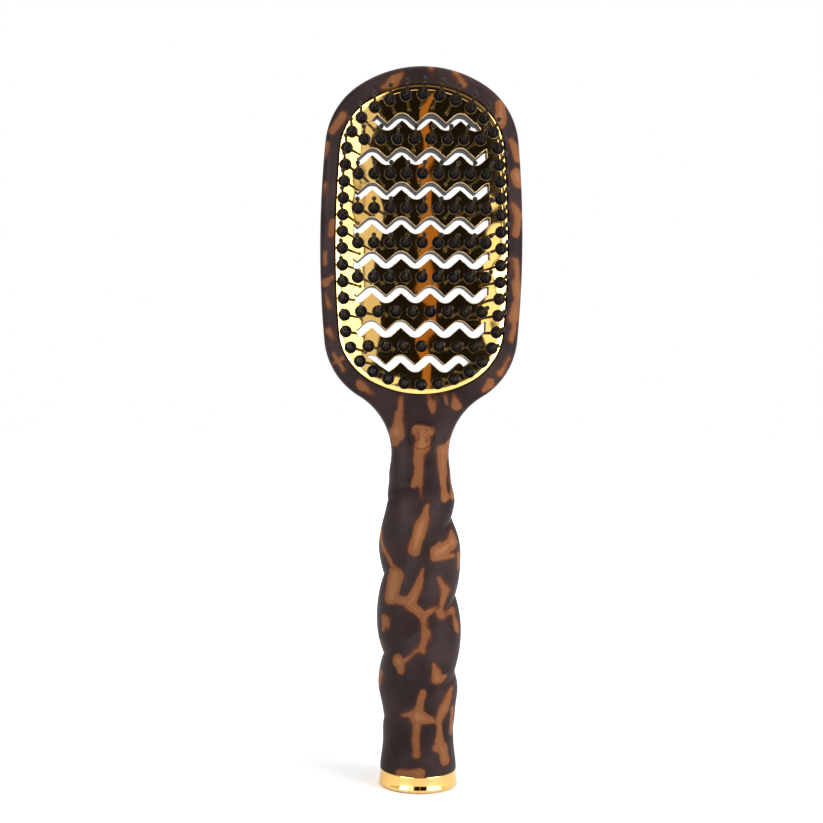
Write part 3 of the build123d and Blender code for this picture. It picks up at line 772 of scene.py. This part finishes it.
# ---------------------------------------------------------------------------- casing
@dataclass(frozen=True)
class ChinMotif:
    """Shallow plain motif sunk into the chin: a ring groove round a four-petal flower."""
    middle_z: float = 114.7
    ring_radius: float = 4.3
    groove_radius: float = 0.30
    petal_reach: float = 1.75
    petal_size: Tuple[float, float] = (1.25, 0.62)
    petal_depth: float = 0.42

    def cutter(self, surface: Callable[[Array, Array], Array]) -> bpy.types.Object:
        """Tube and petals that straddle the skin.

        The tube's middle line is a circle laid on the skin. A petal is an ellipsoid, long
        towards the ring, with its middle on the skin.

        Args:
            surface: gives the skin's y at x and z.
        """
        work = Patchwork()
        turn = np.linspace(0, 2 * np.pi, 96, endpoint=False)[None, :]
        roll = np.linspace(0, 2 * np.pi, 13)[:, None]
        reach = self.ring_radius + self.groove_radius * np.cos(roll)
        x, z = reach * np.cos(turn), self.middle_z + reach * np.sin(turn)
        work.grid(x, surface(x, z) + self.groove_radius * np.sin(roll), z, wrap=True)
        polar = np.linspace(0, np.pi, 13)[:, None]
        round_ = np.linspace(0, 2 * np.pi, 24, endpoint=False)[None, :]
        for quarter in np.radians((45.5, 135.5, 225.5, 315.5)):
            along = self.petal_reach + self.petal_size[0] * np.cos(polar) + 0 * round_
            across = self.petal_size[1] * np.sin(polar) * np.cos(round_)
            x = along * np.cos(quarter) - across * np.sin(quarter)
            z = self.middle_z + along * np.sin(quarter) + across * np.cos(quarter)
            work.grid(x, surface(x, z) + self.petal_depth * np.sin(polar) * np.sin(round_), z,
                      wrap=True)
        return work.build("motif_cutter")


@dataclass
class Casing:
    """Front and rear shells: the head's rim and back, the neck and the twisted handle.

    Each shell closes on the parting plane y = 0. Its skin is lifted off that plane by a height
    over (x, z), in bands that run inwards from the outline, and joins the handle's polar grid
    along the line z = cut_z.
    """
    handle_columns: int = 84
    handle_rows: int = 310
    outline_points: int = 560
    lip: float = 0.16           # round of the front opening's edge
    neck_fade: float = 12.0     # height over which the bands turn level above the seam
    patches: PatchMap = PatchMap()

    def seam_x(self, side: Side) -> Array:
        """x of the handle's grid columns on the line z = cut_z, from -X to +X."""
        angle = np.linspace(0, np.pi, self.handle_columns + 1)
        return HANDLE.skin(np.array(FORM.cut_z), angle, side is Side.FRONT)[0]

    def boundary(self, side: Side) -> Tuple[Array, Array, Array, Array, Array]:
        """Outline of head and neck above the seam line, closed along that line, clockwise.

        Returns:
            x, z, the inward shift (x and z, for a depth of one) and the mask of the seam line.
        """
        x, z = FORM.head.line(self.outline_points)
        right = (x >= 0) & (z > 127.9)
        neck_z = np.linspace(127.28, FORM.cut_z, 30)[:-1]
        rx = np.concatenate([x[right], HANDLE.half_width(neck_z)])
        rz = np.concatenate([z[right], neck_z])
        order = np.argsort(-np.arctan2(rx, rz - FORM.head.middle))[::-1]
        rx, rz = rx[order], rz[order]
        seam = self.seam_x(side)[::-1]
        bx = np.concatenate([rx, seam, -rx[::-1][:-1]])
        bz = np.concatenate([rz, np.full(len(seam), FORM.cut_z), rz[::-1][:-1]])
        on_seam = np.zeros(len(bx), bool)
        on_seam[len(rx):len(rx) + len(seam)] = True
        nx, nz = edge_normals(bx, bz)
        lift = np.clip(1 - (bz - FORM.cut_z) / self.neck_fade, 0, 1)
        nz = nz + lift
        nx = np.where(on_seam, -bx / np.abs(seam).max(), nx)
        nz = np.where(on_seam, 1.0, nz)
        return bx, bz, nx, nz, on_seam

    def height(self, x: Array, z: Array, depth: object, side: Side) -> Array:
        """Distance of the skin from the parting plane.

        On the head it is the crest less the sagitta of the face's or back's arc, less a
        quarter-round over the last millimetres to the outline. On the neck it is a
        superellipse of the half width. The two are mixed between the seam line and the chin.
        """
        front = side is Side.FRONT
        radius = FORM.face_radius if front else FORM.back_radius
        crest = FORM.face_crest if front else FORM.back_crest
        edge = FORM.face_round if front else FORM.back_round
        missing = np.clip(edge - depth, 0.0, edge)
        head = (crest - radius + np.sqrt(radius ** 2 - x * x)
                - edge + np.sqrt(edge ** 2 - missing ** 2))
        z_neck = np.minimum(z, 129.5)
        b = eased(HANDLE.heights, HANDLE.front_depths if front else HANDLE.rear_depths, z_neck)
        n = eased(HANDLE.heights, HANDLE.squareness, z_neck)
        inside = 1 - np.clip(np.abs(x) / HANDLE.half_width(z_neck), 0, 1) ** n
        neck = b * inside ** (1 / n)
        share = smoothstep(FORM.cut_z, 130.0, z)
        return (1 - share) * neck + share * head

    def head_bands(self, side: Side, work: Patchwork) -> None:
        """Add the head: rim, face or back, inner walls and the closing face on the plane."""
        sign = side.value
        bx, bz, nx, nz, on_seam = self.boundary(side)
        edge = FORM.face_round if side is Side.FRONT else FORM.back_round
        top = self.height(bx, bz, 0.0, side)
        rows = [(bx, sign * top * np.where(on_seam, 1.0, share), bz) for share in (0, 0.5, 1)]
        for turn in np.radians(np.arange(10, 91, 10)):
            depth = edge * (1 - np.cos(turn))
            x, z = bx + nx * depth, bz + nz * depth
            rows.append((x, sign * self.height(x, z, depth, side), z))
        angles = np.arctan2(bx, bz - FORM.head.middle)
        inner_x, inner_z = FORM.opening.at_angles(angles)
        ix, iz = edge_normals(inner_x, inner_z)
        last_x, _, last_z = rows[-1]
        if side is Side.FRONT:
            lip = self.lip
            goal_x, goal_z = inner_x - ix * lip, inner_z - iz * lip
            for share in np.linspace(0, 1, 11)[1:]:
                x = last_x + (goal_x - last_x) * share
                z = last_z + (goal_z - last_z) * share
                rows.append((x, -self.height(x, z, edge, side), z))
            for turn in np.radians((30, 60, 90)):
                x = inner_x - ix * lip * (1 - np.sin(turn))
                z = inner_z - iz * lip * (1 - np.sin(turn))
                rows.append((x, -self.height(x, z, edge, side) + lip * (1 - np.cos(turn)), z))
            seat = FORM.cylinder(FORM.plate_back, inner_x)
            rows.append((inner_x, seat, inner_z))
            x, z = inner_x + ix * FORM.ledge, inner_z + iz * FORM.ledge
            rows.append((x, seat, z))
            rows.append((x, 0 * x, z))
        else:
            for share in np.linspace(0, 1, 17)[1:] ** 0.8:
                x = last_x * (1 - share)
                z = last_z + (FORM.head.middle - last_z) * share
                rows.append((x, self.height(x, z, edge, side), z))
            x, z = inner_x + ix * 1.0, inner_z + iz * 1.0
        stack = [np.stack(part) for part in zip(*rows)]
        work.grid(*stack, wrap=True)
        closing = [(bx, 0 * bx, bz), (x, 0 * x, z)]
        if side is Side.REAR:
            for share in np.linspace(0, 1, 13):
                px, pz = x * (1 - share), z + (FORM.head.middle - z) * share
                closing.append((px, FORM.cylinder(FORM.plate_back, px) + 0.03, pz))
        work.grid(*[np.stack(part) for part in zip(*closing)], flip=True, wrap=True)

    def handle_grid(self, side: Side, work: Patchwork) -> None:
        """Add the handle's skin, its flat face on the parting plane and its foot."""
        z = np.linspace(FORM.cap_height, FORM.cut_z, self.handle_rows)[:, None]
        angle = np.linspace(0, np.pi, self.handle_columns + 1)[None, :]
        x, y = HANDLE.skin(z, angle, side is Side.FRONT)
        work.grid(x, y, z + 0 * x)
        flat_x = x[:, [0, -1]]
        work.grid(flat_x, 0 * flat_x, z + 0 * flat_x, flip=True)
        for row, inner in ((-1, -2), (0, 0)):
            near = np.repeat(x[inner, :1], self.handle_columns)
            fan = np.stack([np.append(near, x[inner, -1]), x[row]])
            if row == -1:
                heights = np.stack([0 * near[:1].repeat(fan.shape[1]) + z[inner, 0],
                                    np.full(fan.shape[1], z[row, 0])])
                work.grid(fan, 0 * fan, heights, flip=True)
            else:
                depth = np.stack([0 * y[0], y[0]])
                work.grid(fan, depth, 0 * fan + z[0, 0])

    def build(self, side: Side, finish: bpy.types.Material) -> bpy.types.Object:
        """Build and dress one shell."""
        work = Patchwork()
        self.head_bands(side, work)
        self.handle_grid(side, work)
        name = "casing_front" if side is Side.FRONT else "casing_rear"
        shell = work.build(name)
        if side is Side.REAR:
            cut_away(shell, VENTS.cutter("vent_cutter", 0.0, -9.0, 9.0))
        else:
            cut_away(shell, ChinMotif().cutter(
                lambda x, z: -self.height(x, np.maximum(z, FORM.cut_z), 9.0, side)))
        smooth(shell, 32.0)
        paint_patches(shell, self.patches)
        node = "front_shell" if side is Side.FRONT else "rear_shell"
        return settle(shell, finish, "tortoise", node)


# ---------------------------------------------------------------------------- vent plate
@dataclass
class VentPlate:
    """Gold plate bent over the head's face, with wavy vents and a rolled rim."""
    gap: float = 0.06
    rim: float = 1.7            # width of the rolled rim
    rim_drop: float = 0.38
    bevel: float = 0.13
    slice_step: float = 1.1
    slice_reach: float = 28.05  # x of the last slice on either side
    lap: float = 0.35           # of the rim over the flat plate
    lap_lift: float = 0.015
    rim_points: int = 620

    def outline(self, inset: float, count: int) -> Tuple[Array, Array]:
        """The plate's oval, inset by this much."""
        o = FORM.opening
        return Oval(o.half_width - inset, o.half_length - inset, o.end_radius - inset,
                    o.side_radius - inset, o.corner_radius - inset).line(count)

    def flat_plate(self) -> bpy.types.Object:
        """The plate before it is bent: a filled flat curve with the vents as its holes."""
        curve = bpy.data.curves.new("plate_curve", "CURVE")
        curve.dimensions, curve.fill_mode = "2D", "BOTH"
        curve.extrude = (FORM.plate_thickness / 2 - self.bevel) * MM
        curve.bevel_depth, curve.bevel_resolution = self.bevel * MM, 2
        curve.offset = -self.bevel * MM
        for x, z in [self.outline(self.gap + self.rim, 520)] + VENTS.loops():
            spline = curve.splines.new("POLY")
            spline.points.add(len(x) - 1)
            flat = np.stack([x * MM, z * MM, 0 * x, 0 * x + 1], axis=-1)
            spline.points.foreach_set("co", flat.ravel())
            spline.use_cyclic_u = True
        shape = add_object("plate_curve", curve)
        bpy.context.view_layer.update()
        evaluated = shape.evaluated_get(bpy.context.evaluated_depsgraph_get())
        mesh = bpy.data.meshes.new_from_object(evaluated)
        mesh.name = "vent_plate_gold"
        bpy.data.objects.remove(shape)
        return add_object("vent_plate_gold", mesh)

    def rim_ring(self) -> Tuple[Array, Array]:
        """Points and faces of the rolled rim, closed underneath.

        Across the rim the surface drops by rim_drop times one less the root of one less t to
        the power 2.4, where t runs from 0 inside to 1 at the edge.
        """
        work = Patchwork()
        t = np.sin(np.linspace(0, np.pi / 2, 13))
        drop = self.rim_drop * (1 - (1 - t ** 2.4) ** 0.5)
        rows = []
        for share, fall in zip(t, drop):
            x, z = self.outline(self.gap + (self.rim + self.lap) * (1 - share),
                                self.rim_points)
            rows.append((x, FORM.cylinder(FORM.plate_face + self.lap_lift, x) + fall, z))
        for inset in (self.gap, self.gap + self.rim + self.lap):
            x, z = self.outline(inset, self.rim_points)
            rows.append((x, FORM.cylinder(FORM.plate_back, x), z))
        rows.append(rows[0])
        work.grid(*[np.stack(part) for part in zip(*rows)], wrap=True)
        return np.vstack(work.points), np.vstack(work.faces)

    def build(self, finish: bpy.types.Material) -> bpy.types.Object:
        """Slice the flat plate, bend it over the face's cylinder and add the rim.

        Bending: a point at x, z and height h above the plate's middle goes to the cylinder
        about the face's axis whose radius is the plate's middle radius plus h.
        """
        plate = self.flat_plate()
        work = bmesh.new()
        work.from_mesh(plate.data)
        bmesh.ops.remove_doubles(work, verts=work.verts, dist=0.002 * MM)
        for x in np.arange(-self.slice_reach, self.slice_reach + 0.05, self.slice_step):
            bmesh.ops.bisect_plane(work, geom=work.verts[:] + work.edges[:] + work.faces[:],
                                   dist=1e-7, plane_co=(x * MM, 0, 0), plane_no=(1, 0, 0))
        bmesh.ops.triangulate(work, faces=[f for f in work.faces if len(f.verts) > 4])
        work.to_mesh(plate.data)
        work.free()
        mesh = plate.data
        x, z, h = points_of(mesh).T
        middle = FORM.plate_face - FORM.plate_thickness / 2
        y = FORM.face_axis - np.sqrt((middle + h) ** 2 - x * x)
        mesh.vertices.foreach_set("co", (np.stack([x, y, z], axis=-1) * MM).ravel())
        on_face = np.abs(np.abs(h) - FORM.plate_thickness / 2) < 0.004
        mesh.update()
        ring_points, ring_faces = self.rim_ring()
        ring_mesh = bpy.data.meshes.new("rim")
        ring_mesh.from_pydata((ring_points * MM).tolist(), [], ring_faces.tolist())
        work = bmesh.new()
        work.from_mesh(mesh)
        bmesh.ops.recalc_face_normals(work, faces=work.faces)
        plate_verts = len(work.verts)
        ring = bmesh.new()
        ring.from_mesh(ring_mesh)
        bmesh.ops.remove_doubles(ring, verts=ring.verts, dist=0.002 * MM)
        bmesh.ops.recalc_face_normals(ring, faces=ring.faces)
        ring.to_mesh(ring_mesh)
        ring.free()
        work.from_mesh(ring_mesh)
        work.to_mesh(mesh)
        work.free()
        bpy.data.meshes.remove(ring_mesh)
        mesh.shade_smooth()
        normals = np.empty(len(mesh.vertices) * 3)
        mesh.vertex_normals.foreach_get("vector", normals)
        normals = normals.reshape(-1, 3)
        out = np.stack([x, y - FORM.face_axis, 0 * x], axis=-1)
        out /= np.linalg.norm(out, axis=1)[:, None]
        out[h < 0] *= -1
        normals[:plate_verts][on_face] = out[on_face]
        mesh.normals_split_custom_set_from_vertices(normals.tolist())
        return settle(plate, finish, "gold", "vent_plate")


# ---------------------------------------------------------------------------- pins
@dataclass
class PinField:
    """Straight rows of pins and a ring of pins; a pin is a turned profile along -Y."""
    length: float = 20.0
    ball_radius: float = 0.75
    ball_reach: float = 1.0     # from the ball's middle down to the shaft
    shaft_start: float = 0.6    # height at which the domed base ends
    segments: int = 16
    rows: Tuple[Tuple[int, float], ...] = (
        (8, 18.98), (9, 20.87), (9, 20.87), (9, 20.87), (9, 20.87), (8, 19.73), (7, 17.24))
    ring_count: int = 46
    ring_line: Oval = Oval(26.0, 47.3, 31.05, 342.05, 17.55)

    def profile(self) -> Tuple[Array, Array]:
        """Radius and height above the plate: stem, domed base, tapered shaft, ball tip."""
        ball = np.radians(np.linspace(-55, 90, 8))
        edge = np.radians(np.linspace(0, 90, 4))
        dish = np.radians(np.linspace(30, 90, 3))
        radius = np.concatenate([
            [0.0, 1.3, 2.05], 1.83 + 0.22 * np.cos(edge), [1.6, 1.0],
            1.0 - 0.45 * np.sin(dish), [0.47, 0.42], self.ball_radius * np.cos(ball)])
        height = np.concatenate([
            [-0.8, -0.8, -0.2], 0.33 + 0.22 * np.sin(edge), [0.47, 0.36],
            0.36 + 0.45 * (1 - np.cos(dish)), [8.0, 15.5],
            self.length + self.ball_radius * np.sin(ball)])
        return np.clip(radius, 0, None), height

    def spots(self) -> Dict[str, Tuple[Array, Array]]:
        """x and z of the pins of each named strip."""
        places = {}
        for n, (count, half) in enumerate(self.rows):
            x = np.linspace(-half, half, count)
            places[f"pin_row_{n + 1}"] = (x, 0 * x + VENTS.middle + VENTS.pitch * (3 - n))
        x, z = self.ring_line.line(self.ring_count)
        for name, first, last in (("crown", -3, 3), ("right", 4, 19), ("chin", 20, 26),
                                  ("left", 27, 42)):
            chosen = np.arange(first, last + 1) % self.ring_count
            places[f"pin_ring_{name}"] = (x[chosen], z[chosen])
        return places

    def mark_shafts(self, strip: bpy.types.Object) -> None:
        """Store the attribute "shaft": 1 on the drawn shaft, 0 on the base and the ball."""
        x, y, _ = points_of(strip.data).T
        height = FORM.cylinder(FORM.plate_face, x) - y
        on_shaft = (height > self.shaft_start) & (height < self.length - self.ball_reach)
        store_values(strip.data, "shaft", on_shaft)

    def build(self, finish: bpy.types.Material) -> None:
        """Build one piece for each strip: the profile turned about each pin's axis."""
        radius, height = self.profile()
        turn = np.linspace(0, 2 * np.pi, self.segments, endpoint=False)
        for name, (xs, zs) in self.spots().items():
            work = Patchwork()
            for x0, z0 in zip(xs, zs):
                y0 = float(FORM.cylinder(FORM.plate_face, np.array(x0)))
                work.grid(x0 + radius[:, None] * np.cos(turn), y0 - height[:, None] + 0 * turn,
                          z0 + radius[:, None] * np.sin(turn), wrap=True)
            strip = work.build(f"{name}_pins")
            smooth(strip, 60.0)
            self.mark_shafts(strip)
            settle(strip, finish, "pin_nylon", name)


# ---------------------------------------------------------------------------- end cap
@dataclass
class EndCap:
    """Flared gold cap under the handle: a turned profile with rounded shoulders."""
    foot_radius: float = 12.95
    top_radius: float = 12.45
    height: float = 5.4
    segments: int = 160

    def build(self, finish: bpy.types.Material) -> bpy.types.Object:
        """Turn the profile: recess for the pad, foot, coved flank, shoulder and spigot.

        The flank's radius grows from the shoulder to the foot with the square of the way down.
        """
        down = np.linspace(1, 0, 9)[1:-1]
        foot = np.radians(np.linspace(-90, 0, 7))
        shoulder = np.radians(np.linspace(0, 90, 7))
        radius = np.concatenate([
            [2.2, 9.65, 9.65, self.foot_radius - 0.6],
            self.foot_radius - 0.6 + 0.6 * np.cos(foot), self.top_radius
            + (self.foot_radius - self.top_radius) * down ** 2,
            self.top_radius - 0.45 + 0.45 * np.cos(shoulder), [6.4, 6.4, 2.2, 2.2]])
        height = np.concatenate([
            [1.5, 1.5, 0.3, 0.3], 0.9 + 0.6 * np.sin(foot),
            self.height - 0.45 - (self.height - 1.35) * down,
            self.height - 0.45 + 0.45 * np.sin(shoulder), [self.height, 11.0, 11.0, 1.5]])
        turn = np.linspace(0, 2 * np.pi, self.segments, endpoint=False)
        work = Patchwork()
        work.grid(radius[:, None] * np.cos(turn), radius[:, None] * np.sin(turn),
                  height[:, None] + 0 * turn, wrap=True)
        cap = work.build("end_cap_gold")
        smooth(cap, 45.0)
        return settle(cap, finish, "gold", "end_cap")


# ---------------------------------------------------------------------------- studio
@dataclass
class Studio:
    """White floor, soft panels left, right and above, and the camera."""
    camera_place: Tuple[float, float, float] = (-0.0162, -0.426, 0.1266)
    lens: float = 56.5
    sensor_width: float = 36.0
    clip: Tuple[float, float] = (0.01, 20.0)
    shift: Tuple[float, float] = (0.049, -0.0158)
    lean: float = -0.36          # degrees
    target: Tuple[float, float, float] = (0.0, 0.0, 0.13)
    # name, place and size in metres, radiance, colour
    mirror_panels: Tuple[Tuple, ...] = (
        ("left", (-0.60, -0.68, 0.26), (0.44, 0.95), 7.0, (1, 1, 1)),
        ("left_soft", (-0.325, -0.85, 0.26), (0.13, 0.95), 3.2, (1, 1, 1)),
        ("left_edge", (-0.225, -0.88, 0.26), (0.06, 0.95), 0.9, (1, 1, 1)),
        ("right", (0.62, -0.66, 0.145), (0.52, 0.29), 8.0, (1, 1, 1)),
        ("right_edge", (0.375, -0.82, 0.16), (0.06, 0.30), 1.6, (1, 1, 1)),
        ("warm", (0.075, -1.2, 0.27), (0.07, 0.45), 0.45, (1.0, 0.45, 0.12)))
    lamps: Tuple[Tuple, ...] = (
        ("fill", (-0.57, -0.70, 0.26), (0.5, 0.9), 0.6),
        ("side", (0.70, -0.50, 0.30), (0.5, 0.6), 3.2),
        ("key", (0.55, -0.35, 0.95), (0.55, 0.55), 4.5),
        ("top", (-0.1, 0.3, 1.1), (0.8, 0.8), 1.6))

    def panel(self, name: str, place: Tuple[float, float, float], size: Tuple[float, float],
              radiance: float, colour: Tuple[float, float, float] = (1, 1, 1),
              mirror_only: bool = False) -> bpy.types.Object:
        """Area light aimed at the brush; power is radiance times pi times the area.

        Args:
            name: name of the light.
            place: its middle, in metres.
            size: its width and height, in metres.
            radiance: how bright its face is.
            colour: its colour.
            mirror_only: it shows in reflections but lights nothing by itself.
        """
        data = bpy.data.lights.new(name, "AREA")
        data.shape, data.size, data.size_y = "RECTANGLE", size[0], size[1]
        data.energy = radiance * np.pi * size[0] * size[1]
        data.color = colour
        lamp = add_object(name, data)
        lamp.location = place
        aim = Vector(self.target) - Vector(place)
        lamp.rotation_euler = aim.to_track_quat("-Z", "Y").to_euler()
        lamp.visible_camera = False
        lamp.visible_diffuse = not mirror_only
        return lamp

    def world(self) -> None:
        """White to the camera; to other rays white behind and above, dark in front."""
        world = bpy.data.worlds.new("studio")
        bpy.context.scene.world = world
        world.use_nodes = True
        nodes, links = world.node_tree.nodes, world.node_tree.links
        back = nodes["Background"]
        spot = nodes.new("ShaderNodeTexCoord")
        split = nodes.new("ShaderNodeSeparateXYZ")
        links.new(spot.outputs["Generated"], split.inputs[0])
        span = nodes.new("ShaderNodeMapRange")
        links.new(split.outputs["Y"], span.inputs["Value"])
        for key, value in (("From Min", -0.92), ("From Max", -0.55), ("To Min", 0.012),
                           ("To Max", 0.75)):
            span.inputs[key].default_value = value
        path = nodes.new("ShaderNodeLightPath")
        mix = nodes.new("ShaderNodeMix")
        links.new(path.outputs["Is Camera Ray"], mix.inputs[0])
        links.new(span.outputs["Result"], mix.inputs[2])
        mix.inputs[3].default_value = 1.0
        links.new(mix.outputs[0], back.inputs["Strength"])
        back.inputs["Color"].default_value = (1, 1, 1, 1)

    def floor(self) -> None:
        """Pale floor with the faintest mottling and a painted glow that grows away from the brush.
        """
        desk = NodeDesk.fresh("studio_floor")
        mottle = desk.noise(desk.place(), 3.0)
        desk.feed("Base Color", desk.mix(mottle, (0.93, 0.93, 0.93), (0.95, 0.95, 0.95)))
        desk.feed("Roughness", 0.7)
        desk.feed("Specular IOR Level", 0.2)
        # Painted light: the floor glows, faintly near the brush and more strongly farther out, so
        # that it turns white towards the horizon.
        desk.feed("Emission Color", (1, 1, 1, 1))
        far = desk.add("ShaderNodeVectorMath", operation="LENGTH")
        desk.link(desk.place(), far.inputs[0])
        desk.feed("Emission Strength", desk.span(far.outputs["Value"], 0.12, 0.6, 0.12, 0.75))
        work = Patchwork()
        across = np.linspace(-4000, 4000, 9)
        work.grid(across[None, :] + 0 * across[:, None], across[:, None] + 0 * across[None, :],
                  np.zeros((9, 9)))
        ground = work.build("studio_floor", recalc=False)
        ground.data.materials.append(desk.material)

    def build(self) -> None:
        """Build floor, world, lights and camera."""
        self.floor()
        self.world()
        for name, place, size, radiance, colour in self.mirror_panels:
            self.panel(f"panel_{name}", place, size, radiance, colour, mirror_only=True)
        for name, place, size, radiance in self.lamps:
            self.panel(f"panel_{name}", place, size, radiance)
        data = bpy.data.cameras.new("camera")
        data.lens, data.sensor_width = self.lens, self.sensor_width
        data.shift_x, data.shift_y = self.shift
        data.clip_start, data.clip_end = self.clip
        camera = add_object("camera", data)
        camera.location = self.camera_place
        camera.rotation_euler = (np.pi / 2, np.radians(self.lean), 0)
        bpy.context.scene.camera = camera
        bpy.context.scene.view_settings.view_transform = "Standard"


# ---------------------------------------------------------------------------- assembly
def dress_nodes(nodes: Dict[str, bpy.types.Object]) -> None:
    """Give the CAD nodes that stay in view their detailed finishes."""
    steel = MetalFinish((0.42, 0.42, 0.43), (0.50, 0.50, 0.51), 0.28, 0.12, 0.00002, True)
    for name, finish in (("cap_screw", steel), ("ballast_bar", steel),
                         ("foot_pad", RubberFinish())):
        material = finish.make(f"{name}_finish")
        for slot in nodes[name].material_slots:
            slot.material = material


def main() -> None:
    """Build the brush and its studio."""
    logging.basicConfig(level=logging.INFO, format="%(name)s %(message)s")
    tortoise = TortoiseFinish().make("soft_tortoise")
    plate_gold = MetalFinish((0.83, 0.50, 0.14), (0.87, 0.56, 0.19), 0.035, 0.03,
                             ripple=0.00026).make("stamped_gold")
    cap_gold = MetalFinish((0.83, 0.50, 0.14), (0.87, 0.56, 0.19), 0.04, 0.04,
                           ripple=0.00005).make("turned_gold")
    nylon = NylonFinish().make("gloss_nylon")
    casing = Casing()
    for side in Side:
        casing.build(side, tortoise)
    VentPlate().build(plate_gold)
    PinField().build(nylon)
    EndCap().build(cap_gold)
    dress_nodes(frame["nodes"])
    Studio().build()


if __name__ == "__main__":
    main()
